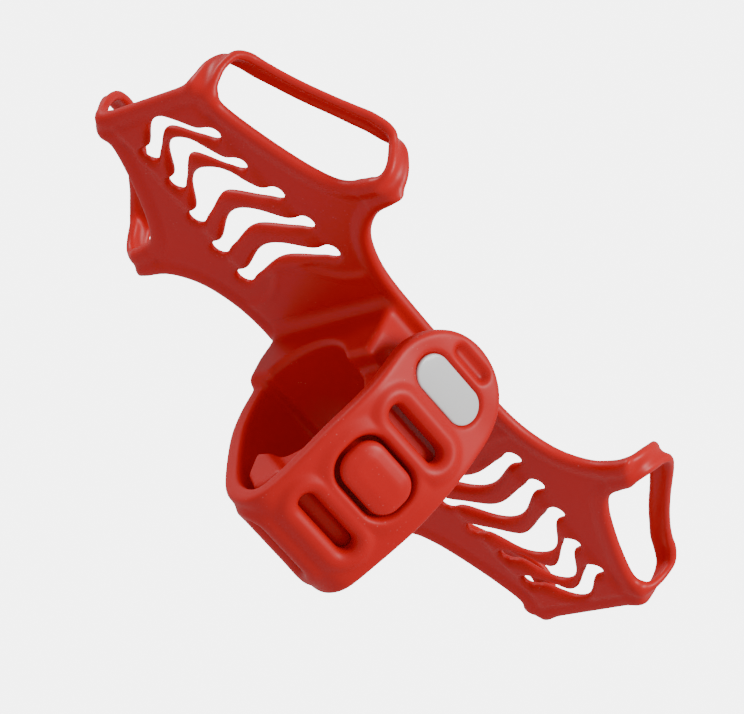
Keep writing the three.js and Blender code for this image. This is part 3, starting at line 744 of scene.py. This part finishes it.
def strap_field(axes):
    x, z = np.meshgrid(axes[0], axes[2], indexing="ij")
    s2, n2 = unroll(x, z)
    s, n, y = s2[:, None, :], n2[:, None, :], axes[1][None, :, None]
    half_width = STRAP_HALF_WIDTH + 0.5 * bump(s - BUTTON_AT, 9)
    across = y + STRAP_SHIFT
    round_end = np.hypot(np.minimum(s - STRAP_HALF_WIDTH, 0), across) - STRAP_HALF_WIDTH
    outline = np.where(s < STRAP_HALF_WIDTH, round_end, np.abs(across) - half_width)
    holes = slot_distance(s - BUTTON_AT, y, HOLE_OPENING, HOLE_LENGTH, 0.42)
    proud = 0.75 * smoothstep(4.2, 1.0, holes) - 0.45 * smoothstep(0.9, -0.1, holes)
    for at in slots:
        slot = slot_distance(s - at, y + STRAP_SHIFT / 2, SLOT_OPENING, SLOT_LENGTH)
        rim = 0.85 * smoothstep(4.4, 2.2, slot) - 0.75 * smoothstep(1.9, -0.2, slot)
        proud = np.where(slot < 1.9, rim, np.maximum(proud, rim))
        holes = np.minimum(holes, slot)
    finger = slot_distance(s - FINGER_AT, across, FINGER_OPENING, FINGER_LENGTH)
    proud = proud - FINGER_DEPTH * smoothstep(0.45, -0.75, finger)
    badge = slot_distance(s - BADGE_AT, y, BADGE_OPENING, BADGE_LENGTH)
    proud = proud - BADGE_DEPTH * smoothstep(0.42, 0.20, badge)
    top, under = STRAP_HALF + proud, -STRAP_HALF
    return rounded_slab(np.maximum(outline, -holes), n - (top + under) / 2, (top - under) / 2, 1.05)


# %% Strap pieces, cut through the middle of slots
TAB_SEAM = 16.2
TURN_SEAM = 51.0
LEG_SEAM = 62.6
SEAM_HALF = 1.6
BEFORE_TIP = -1


def keep_stretch(mesh, name, start, end):
    """The part of the strap between two places along it, cut square, or left whole at the tip."""
    count = len(mesh.vertices)
    co = np.empty(count * 3, np.float32)
    mesh.vertices.foreach_get("co", co)
    co = co.reshape(-1, 3) / MM
    s, _ = unroll(co[:, 0], co[:, 2])
    piece = mesh.copy()
    piece.name = name
    bm = bmesh.new()
    bm.from_mesh(piece)
    bm.verts.ensure_lookup_table()
    margin = 2.5
    gone = [bm.verts[k] for k in np.nonzero((s < start - margin) | (s > end + margin))[0]]
    bmesh.ops.delete(bm, geom=gone, context="VERTS")
    bm.to_mesh(piece)
    bm.free()
    for place, sign in ((start, -1), (end, 1)):
        if place > 0:
            point, along, _ = strap_place(place)
            cut_flat(piece, point, along * sign)
    return piece


def add_strap():
    axes = grid_axes((-31, -15.5, -51), (19, 14.5, -0.5))
    vertices, quads = net_through(strap_field(axes), axes)
    whole = mesh_from("strap", vertices * MM, quads)
    store_curvature(whole)
    for name, start, end, bodies, seam, replaced in (
            ("strap_tab", BEFORE_TIP, slots[0], ("strap_tab", "strap_front"), TAB_SEAM, ["strap_tab"]),
            ("strap_front", slots[0], slots[1], None, None, ["strap_front"]),
            ("strap_turn", slots[1], slots[2], ("strap_front", "strap_turn"), TURN_SEAM, []),
            ("strap_link", slots[2], slots[3], ("strap_turn", "root"), LEG_SEAM, ["strap_turn"])):
        mesh = keep_stretch(whole, f"{name}_skin", start, end)
        piece = add_piece(f"{name}_skin", mesh, moulded_red, replaced)
        if seam is None:
            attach(piece, "strap_front")
            continue
        start, _, _ = strap_place(seam - SEAM_HALF)
        end, _, _ = strap_place(seam + SEAM_HALF)
        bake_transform(piece)


add_strap()

# %% [markdown]
# The saddle, the leg of the strap and the hub are one lump on the real tie, and the button arm grows out of
# the same lump on the other side. They are joined here with soft minimums, so the corners between them fill in
# as rubber does in a mould, and the arm is cut off at the saddle's foot, where it flexes.

# %% Saddle, hub and leg
SADDLE_HALF_WIDTH = 17.0
SADDLE_HALF_LENGTH = 15.0
SEAT_REACH = math.degrees(math.acos((FOOT_Z - AXIS_Z) / SEAT_RADIUS))
ARM_CUT_Z = -13.5
ARM_ROOT_DEPTH = 5
FOOT_REACH_Z = -11
LEG_OVERLAP = 2


def round_stem(angle, radius):
    """A place round the stem, from straight up towards -X."""
    a = math.radians(angle)
    return -radius * math.sin(a), AXIS_Z + radius * math.cos(a)


def saddle_field(axes):
    x, z = np.meshgrid(axes[0], axes[2], indexing="ij")
    seat = [round_stem(a, SEAT_RADIUS) for a in np.linspace(SEAT_REACH, -SEAT_REACH, 25)]
    outline = [(SADDLE_HALF_WIDTH, FOOT_Z), (SADDLE_HALF_WIDTH + 0.4, FOOT_Z * 0.6),
               (SADDLE_HALF_WIDTH - 0.8, -1.6), (-SADDLE_HALF_WIDTH + 0.8, -1.6),
               (-SADDLE_HALF_WIDTH - 0.4, FOOT_Z * 0.6), (-SADDLE_HALF_WIDTH, FOOT_Z)] + seat
    flat = polygon_distance(x, z, outline)
    return rounded_slab(flat[:, None, :], axes[1][None, :, None], SADDLE_HALF_LENGTH, 1.5)


def leg_field(axes):
    x, z = np.meshgrid(axes[0], axes[2], indexing="ij")
    s, _ = unroll(x, z)
    return np.maximum(strap_field(axes), (slots[3] - LEG_OVERLAP - s)[:, None, :])


def add_hub():
    axes = grid_axes((-23, -21, -42), (23, 21, 0.3))
    lump = join_softly(web_field(axes, with_gaps=False), saddle_field(axes), 3.0)
    lump = join_softly(lump, leg_field(axes), 1.6)
    arm_root = np.maximum(arm_field(axes), ARM_CUT_Z - ARM_ROOT_DEPTH - axes[2][None, None, :])
    lump = join_softly(lump, arm_root, 1.6)
    vertices, quads = net_through(lump, axes)
    mesh = mesh_from("hub_and_saddle", vertices * MM, quads)
    store_curvature(mesh)
    cut_flat(mesh, (0, SEAM_Y * MM, 0), (0, 1, 0))
    cut_flat(mesh, (0, -SEAM_Y * MM, 0), (0, -1, 0))
    arm_cut = (0, 0, ARM_CUT_Z * MM)
    cut_flat(mesh, arm_cut, (0, 0, -1), only=lambda p: p.x < 0 and p.z < FOOT_REACH_Z * MM)
    point, along, _ = strap_place(slots[3])
    cut_flat(mesh, point, -along, only=lambda p: p.x > 0 and p.z < point.z + 4 * MM)
    replaced = ["hub_plate", "saddle_block", "strap_leg"]
    piece = add_piece("hub_and_saddle", mesh, moulded_red, replaced)
    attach(piece, "root")


# %% Button arm and its head
ARM_HALF_WIDTH = 10.5
HEAD_HALF_WIDTH = 12.6
ARM_OUTSIDE = -STRAP_HALF - 0.4
ARM_END = 46.4
HEAD_END = 57.4
HEAD_TIP = 62.4


def arm_inside(angle):
    slack = np.clip((angle - 50) / 90, 0, 1)
    return round_stem(angle, SEAT_RADIUS + 2.4 * math.sin(math.pi * slack) ** 2)


def under_strap(start, end, steps, off=ARM_OUTSIDE):
    places = [strap_place(s, off)[0] / MM for s in np.linspace(start, end, steps)]
    return [(p.x, p.z) for p in places]


def arm_field(axes):
    x, z = np.meshgrid(axes[0], axes[2], indexing="ij")
    arm = [(-SADDLE_HALF_WIDTH, FOOT_Z + 3), (-SADDLE_HALF_WIDTH, FOOT_Z),
           (-SADDLE_HALF_WIDTH - 0.9, FOOT_Z - 3.3)]
    arm += under_strap(21, ARM_END, 10)
    arm += [arm_inside(a) for a in np.linspace(184, SEAT_REACH + 4, 18)]
    arm += [(arm_inside(SEAT_REACH)[0], FOOT_Z + 3)]
    head = under_strap(ARM_END - 2, HEAD_END - 2, 5)
    head += under_strap(HEAD_END, HEAD_END, 1, ARM_OUTSIDE - 0.7)
    head += under_strap(HEAD_TIP, HEAD_TIP, 1, ARM_OUTSIDE - 1)
    head += [arm_inside(a) for a in np.linspace(200, 182, 4)]
    y = axes[1][None, :, None]
    long_part = rounded_slab(polygon_distance(x, z, arm)[:, None, :], y, ARM_HALF_WIDTH, 1.1)
    end_part = rounded_slab(polygon_distance(x, z, head)[:, None, :], y, HEAD_HALF_WIDTH, 1.5)
    return join_softly(long_part, end_part, 2.0)


def add_arm():
    axes = grid_axes((-23, -16, -49), (9, 16, -9))
    this_side = np.maximum(saddle_field(axes), axes[0][:, None, None] + 2)
    field = join_softly(this_side, arm_field(axes), 1.6)
    vertices, quads = net_through(field, axes)
    mesh = mesh_from("button_arm_skin", vertices * MM, quads)
    store_curvature(mesh)
    cut_flat(mesh, (0, 0, ARM_CUT_Z * MM), (0, 0, 1))
    piece = add_piece("button_arm_skin", mesh, moulded_red, ["button_arm", "arm_head"])
    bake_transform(piece)


add_hub()
add_arm()

# %% [markdown]
# The button is a pillow on a short neck. Its net is drawn in a flat frame of its own, where its rules are
# simplest, and then laid on the strap's course.

# %% Button
CAP_FLOOR = ARM_OUTSIDE + 3.0
CAP_HEIGHT = 3.2
CAP_LENGTH = 10.2
CAP_WIDTH = 15.6
PILLOW_RISE = 0.55
NECK_LENGTH = 4.0
NECK_WIDTH = 11.0


def to_strap_frame(vertices, place):
    """Moves points given as along, across and outward onto the strap."""
    point, along, out = strap_place(place)
    base = np.array([0, 1, 0])
    shift = vertices[:, :1] * np.array(along) + vertices[:, 1:2] * base + vertices[:, 2:] * np.array(out)
    return np.array(point) + shift * MM


def add_button():
    axes = grid_axes((-6, -9, -2), (6, 9, 5))
    u, v, w = np.meshgrid(*axes, indexing="ij")
    cap_edge = slot_distance(u, v, CAP_LENGTH, CAP_WIDTH, 0.42)
    pillow = PILLOW_RISE * smoothstep(-0.5, -3.4, cap_edge)
    top, under = CAP_FLOOR + CAP_HEIGHT - PILLOW_RISE + pillow, CAP_FLOOR
    cap = rounded_slab(cap_edge, w - (top + under) / 2, (top - under) / 2, 1.25)
    neck_edge = slot_distance(u, v, NECK_LENGTH, NECK_WIDTH)
    neck = rounded_slab(neck_edge, w - (ARM_OUTSIDE + 1.5), 1.6, 0.4)
    field = join_softly(cap, neck, 1.2)
    vertices, quads = net_through(field, axes)
    mesh = mesh_from("button_skin", to_strap_frame(vertices, BUTTON_AT), quads)
    if mesh_volume(mesh) < 0:
        mesh.flip_normals()
    store_curvature(mesh)
    piece = add_piece("button_skin", mesh, stretched_red, ["button"])
    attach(piece, "button")


def mesh_volume(mesh):
    bm = bmesh.new()
    bm.from_mesh(mesh)
    volume = bm.calc_volume(signed=True)
    bm.free()
    return volume


add_button()


# %% Badge
def stadium(opening, length, inset, count=48):
    """Points round a slot-shaped outline, inset by some millimetres."""
    radius = opening / 2 - inset
    straight = (length - opening) / 2
    points = []
    for k in range(count):
        angle = 2 * math.pi * k / count
        shift = straight if math.sin(angle) >= 0 else -straight
        points.append((radius * math.cos(angle), radius * math.sin(angle) + shift))
    return points


def add_badge():
    floor, face = STRAP_HALF - 0.7, STRAP_HALF + 0.15
    profile = [(0.0, floor), (0.0, face - 0.35), (0.04, face - 0.20), (0.14, face - 0.08),
               (0.30, face - 0.02), (0.55, face), (1.6, face + 0.05), (2.8, face + 0.08)]
    rings = [[(x, y, height) for x, y in stadium(BADGE_OPENING, BADGE_LENGTH, inset)]
             for inset, height in profile]
    points = np.array([p for ring in rings for p in ring])
    count = len(rings[0])
    faces = []
    for r in range(len(rings) - 1):
        for k in range(count):
            a, b = r * count + k, r * count + (k + 1) % count
            faces.append((a, b, b + count, a + count))
    mesh = bpy.data.meshes.new("badge_skin")
    last = (len(rings) - 1) * count
    lids = [tuple(reversed(range(count))), tuple(range(last, last + count))]
    mesh.from_pydata([tuple(p) for p in to_strap_frame(points, BADGE_AT)], [], faces + lids)
    mesh.polygons.foreach_set("use_smooth", [True] * len(faces) + [False, True])
    if mesh_volume(mesh) < 0:
        mesh.flip_normals()
    piece = add_piece("badge_skin", mesh, white_plastic, ["badge_plate"])
    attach(piece, "strap_tab")


add_badge()

# %% [markdown]
# Each corner band is a ribbon of rubber that leaves the web at the side arm, climbs over the phone's edge,
# crosses its corner on the glass, and comes down to the end beam. It twists as it goes, and a groove runs
# along it. A Geometry Nodes sweep would meet the web in a hard crease, so the band is one more field, measured
# from its path, and it is joined softly to the web. One upright plane then cuts it free, just inside the line
# it flexes on.

# %% Path of a band
PHONE_THICKNESS = 7.7
PHONE_EDGE_Y = 71.8
BAND_OFF = 1.2
BAND_HALF_WIDTH = 2.7
BAND_HALF_THICKNESS = 1.0
BAND_CUT = -1.2
BAND_STEP = 0.3
BAND_FILLET = 1.8
WEB_MIDDLE_Z = -1.2
ROOT_TOP_Z = 4
BAND_BOX_X = 8
BAND_BOX_Y = 34


def band_path():
    """Points of the band at +X +Y, which way is wide there, and how plump it is."""
    side_x, end_y, glass = phone_edge_x + BAND_OFF, PHONE_EDGE_Y + BAND_OFF, PHONE_THICKNESS + BAND_OFF
    root, end = SIDE_ROOT, END_ROOT
    places = [(root[0] - 3.5, root[1], WEB_MIDDLE_Z), (root[0] - 0.6, root[1], WEB_MIDDLE_Z),
              (side_x, root[1] + 0.4, PHONE_THICKNESS * 0.12),
              (side_x + 0.4, root[1] + 1.8, PHONE_THICKNESS * 0.55),
              (side_x - 0.6, root[1] + 4.0, glass - 1.2), (side_x - 3.5, root[1] + 7.9, glass),
              (side_x - 6.7, root[1] + 11.9, glass),
              ((side_x + end[0]) / 2 - 1.8, (root[1] + end_y) / 2 + 2.7, glass),
              (end[0] + 4.7, end_y - 7.3, glass), (end[0] + 3.3, end_y - 3.8, glass - 0.4),
              (end[0] + 2.3, end_y - 1.3, glass - 1.9), (end[0] + 1.2, end_y - 0.3, PHONE_THICKNESS * 0.5),
              (end[0] + 0.5, end_y - 0.6, PHONE_THICKNESS * 0.08), (end[0] - 0.6, end[1] - 0.3, WEB_MIDDLE_Z),
              (end[0] - 2.2, end[1] - 1.2, WEB_MIDDLE_Z)]
    _, path = evenly(curve_through(places, 24), BAND_STEP)
    share = np.linspace(0, 1, len(path))
    front = math.atan2(CORNER_OUT[1], CORNER_OUT[0])
    stops = [0, 0.20, 0.40, 0.62, 0.80, 1]
    turns = [math.pi / 2, math.pi / 2, front, front, 0.0, front - math.pi / 2]
    angle = np.interp(share, stops, turns)
    wide = np.stack([np.cos(angle), np.sin(angle), 0 * angle], 1)
    plump = np.interp(share, [0, 0.10, 0.20, 0.28, 0.45, 0.65, 0.76, 0.86, 0.95, 1],
                      [1.0, 1.0, 0.94, 1.0, 0.88, 0.88, 0.98, 0.90, 1.0, 0.95])
    return path, wide, plump


def band_field(axes):
    """The band at +X +Y as a field, measured across, up from and past the nearest place on its path."""
    path, wide, plump = band_path()
    along = np.gradient(path, axis=0)
    along /= np.linalg.norm(along, axis=1)[:, None]
    wide = wide - along * (wide * along).sum(1)[:, None]
    wide /= np.linalg.norm(wide, axis=1)[:, None]
    thin = np.cross(along, wide)
    grid = np.meshgrid(*[axis.astype(np.float32) for axis in axes], indexing="ij")
    best = np.full(grid[0].shape, 1e9, np.float32)
    nearest = np.zeros(grid[0].shape, np.int16)
    for k, place in enumerate(path):
        d = sum((g - np.float32(c)) ** 2 for g, c in zip(grid, place))
        closer = d < best
        best[closer] = d[closer]
        nearest[closer] = k
    offset = [g - path[nearest, k] for k, g in enumerate(grid)]
    across = sum(offset[k] * wide[nearest, k] for k in range(3))
    up = sum(offset[k] * thin[nearest, k] for k in range(3))
    past = sum(offset[k] * along[nearest, k] for k in range(3))
    size = plump[nearest]
    half = BAND_HALF_THICKNESS * size * (1 + 0.10 * np.cos(across * 4.2) - 0.42 * bump(across, 0.75))
    ribbon = rounded_slab(np.abs(across) - BAND_HALF_WIDTH * size, up, half, 0.85)
    return np.maximum(ribbon, np.abs(past) - 1.0)


# %% Webs and bands, cut from one moulding
def corner_plane(sign_x=1, sign_y=1):
    """A point and the way out of the upright plane that frees a band."""
    out = Vector((sign_x * CORNER_OUT[0], sign_y * CORNER_OUT[1], 0))
    corner = Vector((sign_x * SIDE_ROOT[0], sign_y * SIDE_ROOT[1], 0))
    return corner * MM + out * BAND_CUT * MM, out


def without_above(mesh, height):
    """The mesh without the bands' run over the glass, part of which leans inside the corner's plane."""
    lower = mesh.copy()
    bm = bmesh.new()
    bm.from_mesh(lower)
    bmesh.ops.delete(bm, geom=[v for v in bm.verts if v.co.z > height], context="VERTS")
    bm.to_mesh(lower)
    bm.free()
    return lower


def add_webs_and_bands():
    axes = grid_axes((-41, SEAM_Y - 3, -3.4), (41, beam_edge + 1.5, 11.5))
    field = clipped(web_field(axes))
    corner_axes = [axes[0][axes[0] > BAND_BOX_X], axes[1][axes[1] > BAND_BOX_Y], axes[2]]
    band = clipped(band_field(corner_axes))
    right = field[-len(corner_axes[0]):, -len(corner_axes[1]):]
    right[:] = join_softly(right, band, BAND_FILLET)
    field[:len(corner_axes[0]), -len(corner_axes[1]):] = right[::-1]
    vertices, quads = net_through(field, axes)
    whole = mesh_from("upper_half", vertices * MM, quads)
    store_curvature(whole)
    web = without_above(whole, ROOT_TOP_Z * MM)
    cut_flat(web, (0, SEAM_Y * MM, 0), (0, -1, 0))
    for sign in (1, -1):
        cut_flat(web, *corner_plane(sign))
    point, out = corner_plane()
    cut_flat(whole, point, -out, only=lambda p: p.z < ROOT_TOP_Z * MM or p.x < 0)
    for web_name, sign_y in (("upper", 1), ("lower", -1)):
        skin = f"{web_name}_web_skin"
        replaced = [f"{web_name}_web_frame"] + [f"{web_name}_rib_{k}" for k in (1, 2, 3, 4)]
        piece = add_piece(skin, mirror_mesh(web, skin, 1, sign_y), moulded_red, replaced)
        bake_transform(piece)
        for side, sign_x in (("right", 1), ("left", -1)):
            name = f"{web_name}_{side}_band"
            mesh = mirror_mesh(whole, f"{name}_skin", sign_x, sign_y)
            piece = add_piece(f"{name}_skin", mesh, stretched_red, [name])
            point, out = corner_plane(sign_x, sign_y)
            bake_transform(piece)


add_webs_and_bands()
